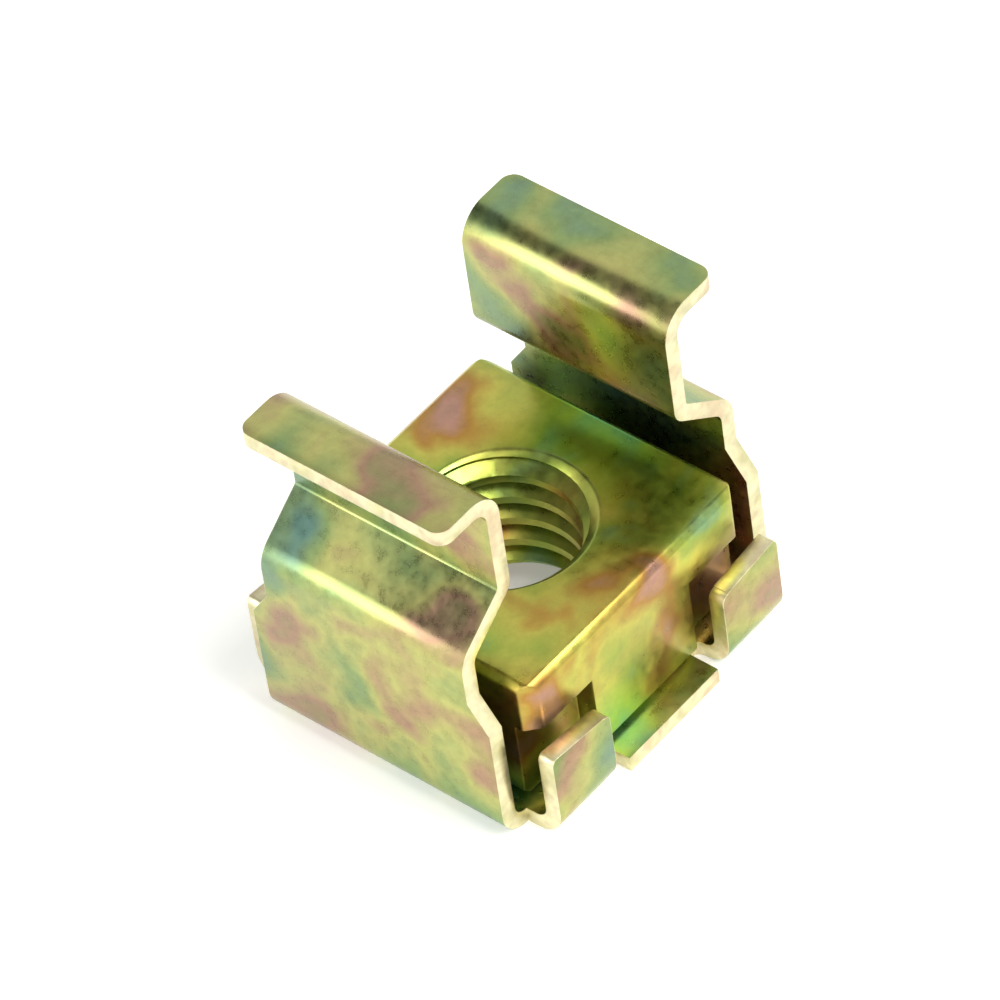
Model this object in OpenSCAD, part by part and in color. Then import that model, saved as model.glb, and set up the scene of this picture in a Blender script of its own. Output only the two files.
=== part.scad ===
// Cage nut for a square rack hole: a square nut held loosely in a folded spring-steel cage.
// Underside of the base on z = 0, screw axis on z, legs at +x and -x, tabs at +y and -y.

/* [Square nut] */
// Width of the nut, the same both ways
nut_w = 10.8; // [10:0.1:13]
// Height of the nut
nut_h = 5.4; // [4.5:0.1:7]
// Flat cut on each upright corner
nut_corner = 0.5; // [0.2:0.1:1]
// Flat cut along the top and bottom edges
nut_edge = 0.25; // [0.1:0.05:0.4]
// Thickness of the full-width head above the notched foot
nut_head_h = 2.1; // [1.6:0.1:2.6]
// Width of the foot between the notches
foot_w = 5; // [4:0.1:6]
// Depth of the notches that clear the tabs
notch_d = 0.8; // [0.5:0.1:1.2]
// Core diameter of the thread
thread_core_d = 5; // [4:0.1:5.4]
// Diameter of the chamfered mouth at each end of the thread
thread_mouth_d = 6.2; // [5.8:0.1:7]

/* [Cage sheet] */
// Thickness of the spring steel
sheet_t = 0.6; // [0.4:0.05:0.8]
// Inner radius of the folds at the base
fold_r = 0.5; // [0.3:0.05:0.8]
// Inner radius of the shoulder bend
shoulder_r = 0.55; // [0.3:0.05:0.8]
// Inner radius of the crease at the neck
crease_r = 0.15; // [0.1:0.05:0.3]
// Inner radius of the bend where the ear turns outwards
ear_r = 0.6; // [0.4:0.05:0.8]

/* [Cage base] */
// Diameter of the screw clearance hole
hole_d = 7.6; // [6.8:0.1:8.4]
// Gap between the nut and each leg
leg_gap = 0.85; // [0.5:0.05:1.2]
// Gap between the nut and each tab
tab_gap = 0.35; // [0.2:0.05:0.6]
// Width of the flat tongue between the tabs
tongue_w = 4.6; // [3.8:0.1:5.2]
// Width of the relief beside the tongue, rounded at its end
relief_w = 0.6; // [0.4:0.05:0.8]
// Height of each tab at its corner end, from the underside
tab_h = 3.7; // [3:0.1:3.8]
// How much lower the tab is at the end beside the tongue
tab_drop = 0.35; // [0.1:0.05:0.6]
// Corner radius of the tabs
tab_corner_r = 0.3; // [0.1:0.05:0.5]

/* [Legs] */
// Width of the lower part of each leg
leg_w = 9.8; // [9:0.1:10.4]
// Height above the base where the leg begins to narrow
step_h = 4.4; // [3.6:0.1:5]
// Length over which the leg narrows
step_run = 1.1; // [0.6:0.1:1.4]
// Height of the shoulder corner above the top of the nut
shoulder_h = 2.1; // [1.6:0.1:2.6]

/* [Neck and ears] */
// Distance across the outer faces of the two necks, to suit a 9.5 mm square hole
neck_span = 9.5; // [9:0.1:9.8]
// Width of the neck and ear
ear_w = 8.3; // [7.6:0.1:8.8]
// Clear height from the crease to the underside of the ear, the slot for the panel
slot_h = 3.8; // [3:0.1:4.6]
// Distance between the tips of the two ears
ear_span = 13.6; // [13:0.1:14.4]
// Corner radius of the ear tips
tip_r = 0.5; // [0.2:0.1:0.9]

/* [Hidden] */
$fn = 64;

cut = 1;                                        // how far a cutter runs past the metal
half_t = sheet_t / 2;
nut_z = sheet_t;                                // the nut seats on the base
nut_top = nut_z + nut_h;
mouth_h = (thread_mouth_d - thread_core_d) / 2; // 45 degree chamfer

leg_in = nut_w / 2 + leg_gap;                   // inner face of each leg
tab_in = nut_w / 2 + tab_gap;                   // inner face of each tab
tab_out = tab_in + sheet_t;
tab_x1 = tongue_w / 2 + relief_w;               // tab edge beside the tongue
tab_x2 = leg_in - fold_r;                       // tab edge where the leg fold begins
base_y = tab_in - fold_r;                       // the flat base ends at the tab folds
notch_h = nut_h - nut_head_h;

leg_x = leg_in + half_t;                        // middle of the sheet in the leg
neck_x = neck_span / 2 - half_t;                // and in the neck
slope = 3 / 4;                                  // 3-4-5 shoulder, so its bends end on plain decimals
shoulder_z = nut_top + shoulder_h;
crease_z = shoulder_z - half_t + slope * (leg_x - neck_x);
ear_z = crease_z + slot_h;                      // underside of the ears
top_z = ear_z + sheet_t;
step_z = sheet_t + step_h;

// Middle line of the sheet on the +x side, from the middle of the base to the ear tip
leg_line = [
    [0, half_t],
    [leg_x, half_t],
    [leg_x, shoulder_z - half_t],
    [neck_x, crease_z],
    [neck_x, ear_z + half_t],
    [ear_span / 2, ear_z + half_t]
];
leg_bends = [fold_r, shoulder_r, crease_r, ear_r];

// Middle line of a tab, from the middle of the base to the tab's top
tab_line = [[0, half_t], [tab_in + half_t, half_t], [tab_in + half_t, tab_h]];

function unit(v) = v / norm(v);
function heading(v) = atan2(v[1], v[0]);
function turn_at(p, i) =
    let (a = heading(p[i + 1] - p[i]) - heading(p[i] - p[i - 1])) a - 360 * round(a / 360);
// Length of straight sheet that the bend at point i takes from each side
function setback(p, bends, i) =
    i == 0 || i == len(p) - 1 ? 0 : (bends[i - 1] + half_t) * tan(abs(turn_at(p, i)) / 2);

// Part of a ring between two radii, from angle 0 to the given angle
module ring_part(r_in, r_out, angle) {
    far = 2 * r_out;
    intersection() {
        difference() {
            circle(r_out);
            circle(r_in);
        }
        polygon([[0, 0], [far, 0], far * [cos(angle / 2), sin(angle / 2)], far * [cos(angle), sin(angle)]]);
    }
}

// Outline of a sheet folded along a line of points, with an inner radius for each bend
module folded_outline(p, bends) {
    for (i = [0 : len(p) - 2]) {
        along = unit(p[i + 1] - p[i]);
        start = setback(p, bends, i);
        run = norm(p[i + 1] - p[i]) - start - setback(p, bends, i + 1);
        translate(p[i] + start * along) rotate(heading(along))
            translate([0, -half_t]) square([run, sheet_t]);
    }
    for (i = [1 : len(p) - 2]) {
        turn = turn_at(p, i);
        side = turn > 0 ? 1 : -1;
        r = bends[i - 1];
        dir = heading(p[i] - p[i - 1]);
        before = unit(p[i] - p[i - 1]);
        centre = p[i] - setback(p, bends, i) * before + side * (r + half_t) * [-before[1], before[0]];
        translate(centre) rotate(side > 0 ? dir - 90 : dir + 90 + turn)
            ring_part(r, r + sheet_t, abs(turn));
    }
}

// What rounding leaves outside the corner of a square at the origin, that lies towards +x and +y
module corner_waste(r) {
    difference() {
        translate([-r, -r]) square(r + cut);
        translate([-r, -r]) circle(r);
    }
}

// Base strip with both legs, necks and ears, narrowed above the step and rounded at the tips
module legs() {
    ear_y = ear_w / 2;
    leg_y = leg_w / 2;
    difference() {
        intersection() {
            rotate([90, 0, 0]) linear_extrude(leg_w, center = true)
                for (side = [0, 1]) mirror([side, 0]) folded_outline(leg_line, leg_bends);
            rotate([90, 0, 90]) linear_extrude(2 * ear_span, center = true)
                polygon([
                    [-leg_y, -cut], [leg_y, -cut], [leg_y, step_z], [ear_y, step_z + step_run],
                    [ear_y, top_z + cut], [-ear_y, top_z + cut], [-ear_y, step_z + step_run], [-leg_y, step_z]
                ]);
        }
        for (x = [0, 1], y = [0, 1]) mirror([x, 0, 0]) mirror([0, y, 0])
            translate([ear_span / 2, ear_y, ear_z - cut]) linear_extrude(sheet_t + 2 * cut) corner_waste(tip_r);
    }
}

// Flat of the base between the folds, with the tongues and the reliefs beside them
module base() {
    linear_extrude(sheet_t) difference() {
        union() {
            square([2 * tab_x2, 2 * base_y], center = true);
            square([tongue_w, 2 * tab_out], center = true);
        }
        for (x = [-1, 1], y = [-1, 1])
            translate([x * (tongue_w + relief_w) / 2, y * base_y]) circle(d = relief_w);
    }
}

// One tab, folded up beside the +x end of the +y tongue, with a sloping top edge
module tab() {
    intersection() {
        rotate([90, 0, 90]) linear_extrude(tab_x2) folded_outline(tab_line, [fold_r]);
        rotate([90, 0, 0]) linear_extrude(4 * tab_out, center = true) difference() {
            polygon([[tab_x1, -cut], [tab_x2, -cut], [tab_x2, tab_h], [tab_x1, tab_h - tab_drop]]);
            translate([tab_x2, tab_h]) corner_waste(tab_corner_r);
            translate([tab_x1, tab_h - tab_drop]) mirror([1, 0]) corner_waste(tab_corner_r);
        }
    }
}

module spring_cage() {
    color("darkkhaki") difference() {
        union() {
            legs();
            base();
            for (x = [0, 1], y = [0, 1]) mirror([x, 0, 0]) mirror([0, y, 0]) tab();
        }
        translate([0, 0, -cut]) cylinder(h = sheet_t + 2 * cut, d = hole_d);
    }
}

// Rectangle centred on x, standing on y = 0, with its corners cut at 45 degrees
module cut_corner_outline(w, h, c) {
    polygon([
        [-w / 2 + c, 0], [w / 2 - c, 0], [w / 2, c], [w / 2, h - c],
        [w / 2 - c, h], [-w / 2 + c, h], [-w / 2, h - c], [-w / 2, c]
    ]);
}

module square_nut() {
    notch_w = (nut_w - foot_w) / 2;
    color("goldenrod") translate([0, 0, nut_z]) difference() {
        intersection() {
            linear_extrude(nut_h) translate([0, -nut_w / 2]) cut_corner_outline(nut_w, nut_w, nut_corner);
            rotate([90, 0, 0]) linear_extrude(nut_w, center = true) cut_corner_outline(nut_w, nut_h, nut_edge);
            rotate([90, 0, 90]) linear_extrude(nut_w, center = true) cut_corner_outline(nut_w, nut_h, nut_edge);
        }
        for (x = [0, 1], y = [0, 1]) mirror([x, 0, 0]) mirror([0, y, 0])
            translate([foot_w / 2, nut_w / 2 - notch_d, -cut]) cube([notch_w + cut, notch_d + cut, notch_h + cut]);
        translate([0, 0, -cut]) cylinder(h = nut_h + 2 * cut, d = thread_core_d);
        translate([0, 0, nut_h - mouth_h]) cylinder(h = mouth_h, d1 = thread_core_d, d2 = thread_mouth_d);
        cylinder(h = mouth_h, d1 = thread_mouth_d, d2 = thread_core_d);
    }
}

spring_cage();
square_nut();
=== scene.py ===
"""Rack cage nut: a threaded square nut held in a folded spring cage, both zinc plated in yellow chromate."""
import math

import bpy
from mathutils import Matrix, Vector


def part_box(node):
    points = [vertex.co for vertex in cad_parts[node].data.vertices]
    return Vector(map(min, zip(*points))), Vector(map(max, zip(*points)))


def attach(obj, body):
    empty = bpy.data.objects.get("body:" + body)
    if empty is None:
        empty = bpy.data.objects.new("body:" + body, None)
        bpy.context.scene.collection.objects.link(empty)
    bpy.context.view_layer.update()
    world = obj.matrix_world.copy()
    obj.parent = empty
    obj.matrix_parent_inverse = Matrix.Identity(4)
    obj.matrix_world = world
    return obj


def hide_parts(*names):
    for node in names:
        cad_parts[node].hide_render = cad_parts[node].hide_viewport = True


MM = 0.001

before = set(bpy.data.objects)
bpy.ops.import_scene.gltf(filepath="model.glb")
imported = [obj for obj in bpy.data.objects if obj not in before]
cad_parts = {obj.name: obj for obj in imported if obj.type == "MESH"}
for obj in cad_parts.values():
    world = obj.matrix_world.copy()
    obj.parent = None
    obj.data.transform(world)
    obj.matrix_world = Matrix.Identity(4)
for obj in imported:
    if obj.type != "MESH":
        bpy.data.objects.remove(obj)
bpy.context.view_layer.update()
NUT_LOW, NUT_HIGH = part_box("square_nut")
CAGE_LOW, CAGE_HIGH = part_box("spring_cage")

# Thread: M6 with 1 mm pitch, cut into the plain core bore of the nut
PITCH = 1.0 * MM
CORE_R = 2.5 * MM
MAJOR_R = 3.0 * MM
THREAD_STEPS = 64                 # straight stretches in one turn

SHEET_T = 0.6 * MM                # thickness of the cage's strip
EDGE_ROUND = 0.06 * MM            # rounding that plating and tumbling leave on cut edges
NUT_EDGE_ROUND = 0.08 * MM
WELD = 0.0005 * MM                # points of the frame's meshes closer than this are one point
SKIN = 0.01 * MM                  # how far below a face its depth of metal is measured from
EDGE_HIGHLIGHT_SLOT = 1                       # the cage's second material slot, which carries a painted highlight on cut faces and rounded edges


# Mesh tools -----------------------------------------------------------------------------------

def only(piece):
    """Selects one object and makes it active, with nothing else selected."""
    bpy.ops.object.select_all(action="DESELECT")
    piece.select_set(True)
    bpy.context.view_layer.objects.active = piece


def apply_modifier(piece, kind, **settings):
    only(piece)
    modifier = piece.modifiers.new(kind.lower(), kind)
    for key, value in settings.items():
        setattr(modifier, key, value)
    bpy.ops.object.modifier_apply(modifier=modifier.name)


def merged_copy(node, name):
    """A copy of a CAD node with its loose triangles merged and its flat faces made whole."""
    piece = bpy.data.objects.new(name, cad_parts[node].data.copy())
    bpy.context.scene.collection.objects.link(piece)
    only(piece)
    bpy.ops.mesh.customdata_custom_splitnormals_clear()
    bpy.ops.object.mode_set(mode="EDIT")
    bpy.ops.mesh.select_all(action="SELECT")
    bpy.ops.mesh.remove_doubles(threshold=WELD)
    bpy.ops.mesh.dissolve_limited(angle_limit=math.radians(0.5))
    bpy.ops.mesh.normals_make_consistent(inside=False)
    bpy.ops.object.mode_set(mode="OBJECT")
    return piece


def smooth(piece, degrees):
    only(piece)
    bpy.ops.object.shade_smooth_by_angle(angle=math.radians(degrees))


# Materials ------------------------------------------------------------------------------------

def colour(code):
    """Linear RGBA from an sRGB hex code."""
    def linear(c):
        return c / 12.92 if c <= 0.04045 else ((c + 0.055) / 1.055) ** 2.4
    return tuple(linear(int(code[i:i + 2], 16) / 255) for i in (1, 3, 5)) + (1.0,)


def add(tree, kind, settings=None, **links):
    """Adds a node, sets its properties and sockets, and links the sockets named in links."""
    node = tree.nodes.new("ShaderNode" + kind)
    for key, value in (settings or {}).items():
        if key in node.inputs:
            node.inputs[key].default_value = value
        else:
            setattr(node, key, value)
    for key, output in links.items():
        tree.links.new(output, node.inputs[key.replace("_", " ")])
    return node


def ramp(tree, factor, stops):
    node = add(tree, "ValToRGB", Fac=factor)
    elements = node.color_ramp.elements
    while len(elements) < len(stops):
        elements.new(0.5)
    for element, (place, code) in zip(elements, stops):
        element.position = place
        element.color = colour(code)
    return node


def new_material(name):
    material = bpy.data.materials.new(name)
    material.use_nodes = True
    material.node_tree.nodes.clear()
    return material, material.node_tree


MOTTLE = 0.45                     # millimetres, as patch is
GRAIN = 0.2


def per_mm(size):
    """Noise scale for patches of a size in millimetres."""
    return 1 / (size * MM)


def chromated_zinc(name, stops, patch, roughness, grain_bump):
    """Yellow chromate over bright zinc, whose thin film drifts between the colours in stops.

    The drifts are about patch millimetres long, with a finer mottle and a grain over them.
    """
    material, tree = new_material(name)
    place = add(tree, "TexCoord").outputs["Object"]
    patches = add(tree, "TexNoise", {
        "Scale": per_mm(patch), "Detail": 2.5, "Roughness": 0.5, "Distortion": 0.25}, Vector=place)
    film = ramp(tree, patches.outputs["Fac"], stops)
    mottle = add(tree, "TexNoise", {"Scale": per_mm(MOTTLE), "Detail": 4.0, "Roughness": 0.6}, Vector=place)
    shade = ramp(tree, mottle.outputs["Fac"], [(0.3, "#d4d4d4"), (0.7, "#ffffff")])
    tint = add(tree, "MixRGB", {"blend_type": "MULTIPLY", "Fac": 0.7},
               Color1=film.outputs["Color"], Color2=shade.outputs["Color"])
    rough = add(tree, "MapRange", {
        "From Min": 0.3, "From Max": 0.7, "To Min": roughness[0], "To Max": roughness[1]},
                Value=mottle.outputs["Fac"])
    grain = add(tree, "TexNoise", {"Scale": per_mm(GRAIN), "Detail": 2.0, "Roughness": 0.5}, Vector=place)
    bump = add(tree, "Bump", {"Strength": grain_bump, "Distance": 0.004 * MM}, Height=grain.outputs["Fac"])
    metal = add(tree, "BsdfPrincipled", {"Metallic": 1.0}, Base_Color=tint.outputs["Color"],
                Roughness=rough.outputs["Result"], Normal=bump.outputs["Normal"])
    add(tree, "OutputMaterial", Surface=metal.outputs["BSDF"])
    return material


# Rolled faces of the spring steel strip: olive and straw to grey-green, with brown-pink drifts
CAGE_METAL = chromated_zinc(
    "yellow_chromated_spring_steel",
    [(0.30, "#6f9486"), (0.42, "#93a86c"), (0.52, "#bbba72"), (0.62, "#b08e74"), (0.74, "#879c5e")],
    patch=4.0, roughness=(0.24, 0.36), grain_bump=0.12)

# Where shears cut the strip, and on its rounded edges: pale cream, a painted highlight along the edges
EDGE_HIGHLIGHT_METAL = chromated_zinc(
    "yellow_chromated_painted_edge_highlight",
    [(0.35, "#d9d2a2"), (0.5, "#efe7bd"), (0.65, "#e0cda6")],
    patch=1.2, roughness=(0.34, 0.46), grain_bump=0.4)

# The nut: stronger yellow with teal, rose and rust-coloured drifts
NUT_METAL = chromated_zinc(
    "yellow_chromated_nut_steel",
    [(0.28, "#74a58a"), (0.40, "#a3b552"), (0.52, "#c8c15c"), (0.62, "#b98c46"), (0.70, "#bd917e"),
     (0.80, "#9da650")],
    patch=3.6, roughness=(0.26, 0.40), grain_bump=0.12)


# Pieces ---------------------------------------------------------------------------------------

def thread_cutter():
    """Helical bar with the thread's 60 degree section, a little longer than the nut at both ends."""
    turns = math.ceil((NUT_HIGH.z - NUT_LOW.z) / PITCH) + 2
    inner_r = CORE_R - 0.1 * MM
    crest_half = PITCH / 16
    root_half = crest_half + (MAJOR_R - inner_r) * math.tan(math.radians(30))
    bpy.ops.mesh.primitive_plane_add(size=1)
    cutter = bpy.context.object
    corners = [(inner_r, -root_half), (MAJOR_R, -crest_half), (inner_r, root_half), (MAJOR_R, crest_half)]
    for vertex, (r, z) in zip(cutter.data.vertices, corners):
        vertex.co = Vector((r, 0, NUT_LOW.z - PITCH + z))
    apply_modifier(cutter, "SCREW", angle=math.tau, screw_offset=PITCH, iterations=turns, steps=THREAD_STEPS,
                   render_steps=THREAD_STEPS, axis="Z", use_merge_vertices=False)
    only(cutter)
    bpy.ops.object.mode_set(mode="EDIT")
    bpy.ops.mesh.select_all(action="SELECT")
    bpy.ops.mesh.fill_holes(sides=4)
    bpy.ops.mesh.select_all(action="SELECT")
    bpy.ops.mesh.normals_make_consistent(inside=False)
    bpy.ops.object.mode_set(mode="OBJECT")
    return cutter


def threaded_nut():
    nut = merged_copy("square_nut", "threaded_square_nut")
    apply_modifier(nut, "BEVEL", width=NUT_EDGE_ROUND, segments=2, limit_method="ANGLE",
                   angle_limit=math.radians(30))
    cutter = thread_cutter()
    apply_modifier(nut, "BOOLEAN", operation="DIFFERENCE", solver="EXACT", object=cutter)
    bpy.data.objects.remove(cutter)
    nut.data.materials.clear()
    nut.data.materials.append(NUT_METAL)
    smooth(nut, 32)
    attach(nut, "root")
    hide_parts("square_nut")
    return nut


def mark_sheared_faces(sheet):
    """Gives the painted edge highlight to the sheared faces, which have clearly more than the sheet's
    thickness behind them.
    """
    sheet.data.calc_loop_triangles()
    largest = {}
    for triangle in sheet.data.loop_triangles:
        known = largest.get(triangle.polygon_index)
        if known is None or triangle.area > known.area:
            largest[triangle.polygon_index] = triangle
    for index, triangle in largest.items():
        inward = -Vector(triangle.normal)
        start = Vector(triangle.center) + inward * SKIN
        hit, place, _, _ = sheet.ray_cast(start, inward)
        rolled = hit and (place - start).length <= 1.5 * SHEET_T
        if not rolled:
            # the sheared faces take the pale cream, painted edge highlight
            sheet.data.polygons[index].material_index = EDGE_HIGHLIGHT_SLOT


def folded_cage():
    cage = merged_copy("spring_cage", "folded_spring_cage")
    cage.data.materials.clear()
    for metal in (CAGE_METAL, EDGE_HIGHLIGHT_METAL):      # in the order of the slots
        cage.data.materials.append(metal)
    mark_sheared_faces(cage)
    # the bevel's rounded edges take the pale cream, painted edge highlight too
    apply_modifier(cage, "BEVEL", width=EDGE_ROUND, segments=2, limit_method="ANGLE",
                   angle_limit=math.radians(40), material=EDGE_HIGHLIGHT_SLOT)
    smooth(cage, 32)
    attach(cage, "root")
    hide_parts("spring_cage")
    return cage


# Stage, light and camera ----------------------------------------------------------------------

def floor():
    bpy.ops.mesh.primitive_plane_add(size=2.0)
    plane = bpy.context.object
    plane.name = "floor"
    material, tree = new_material("pale_matt_board")
    board = add(tree, "BsdfPrincipled", {
        "Base Color": colour("#f2f2ef"), "Roughness": 0.9,
        "Emission Color": colour("#ffffff"), "Emission Strength": 0.25})
    add(tree, "OutputMaterial", Surface=board.outputs["BSDF"])
    plane.data.materials.append(material)


def area_light(name, direction, distance, size, watts):
    """Square softbox that faces the object from a direction."""
    light = bpy.data.lights.new(name, "AREA")
    light.size = size
    light.energy = watts
    lamp = bpy.data.objects.new(name, light)
    bpy.context.scene.collection.objects.link(lamp)
    lamp.location = Vector(direction).normalized() * distance
    lamp.rotation_euler = lamp.location.to_track_quat("Z", "Y").to_euler()


def studio_sky():
    world = bpy.data.worlds.new("studio")
    bpy.context.scene.world = world
    world.use_nodes = True
    tree = world.node_tree
    tree.nodes.clear()
    height = add(tree, "SeparateXYZ", Vector=add(tree, "TexCoord").outputs["Generated"]).outputs["Z"]
    sky = ramp(tree, height, [(0.0, "#ffffff"), (0.35, "#ffffff"), (0.55, "#4c4c4c"), (1.0, "#868686")])
    glow = add(tree, "Background", {"Strength": 0.9}, Color=sky.outputs["Color"])
    add(tree, "OutputWorld", Surface=glow.outputs["Background"])


def camera():
    """Long lens from the front left, looking down, leaning a little so that the axis tips to the left."""
    azimuth, elevation, roll = (math.radians(a) for a in (-44.3, 46.5, -9.0))
    distance = 260 * MM
    view = bpy.data.cameras.new("camera")
    view.angle = math.radians(7.0)
    view.clip_start = 10 * MM
    view.clip_end = 10.0
    eye = bpy.data.objects.new("camera", view)
    bpy.context.scene.collection.objects.link(eye)
    turn = (Matrix.Rotation(azimuth, 4, "Z") @ Matrix.Rotation(math.pi / 2 - elevation, 4, "X")
            @ Matrix.Rotation(roll, 4, "Z"))
    middle = (CAGE_LOW + CAGE_HIGH) / 2
    eye.matrix_world = Matrix.Translation(middle + turn.col[2].to_3d() * distance) @ turn
    bpy.context.scene.camera = eye


camera()
studio_sky()
area_light("softbox_right", (0.5, 0.45, 0.8), 0.35, 0.30, 0.25)
area_light("softbox_left", (-0.9, -0.5, 0.7), 0.40, 0.30, 0.6)
area_light("softbox_back", (-0.80, 0.49, 0.30), 0.35, 0.20, 0.5)
area_light("softbox_front", (0.15, -0.7, 0.9), 0.40, 0.25, 1.6)
floor()
threaded_nut()
folded_cage()

bpy.context.scene.view_settings.view_transform = "Standard"
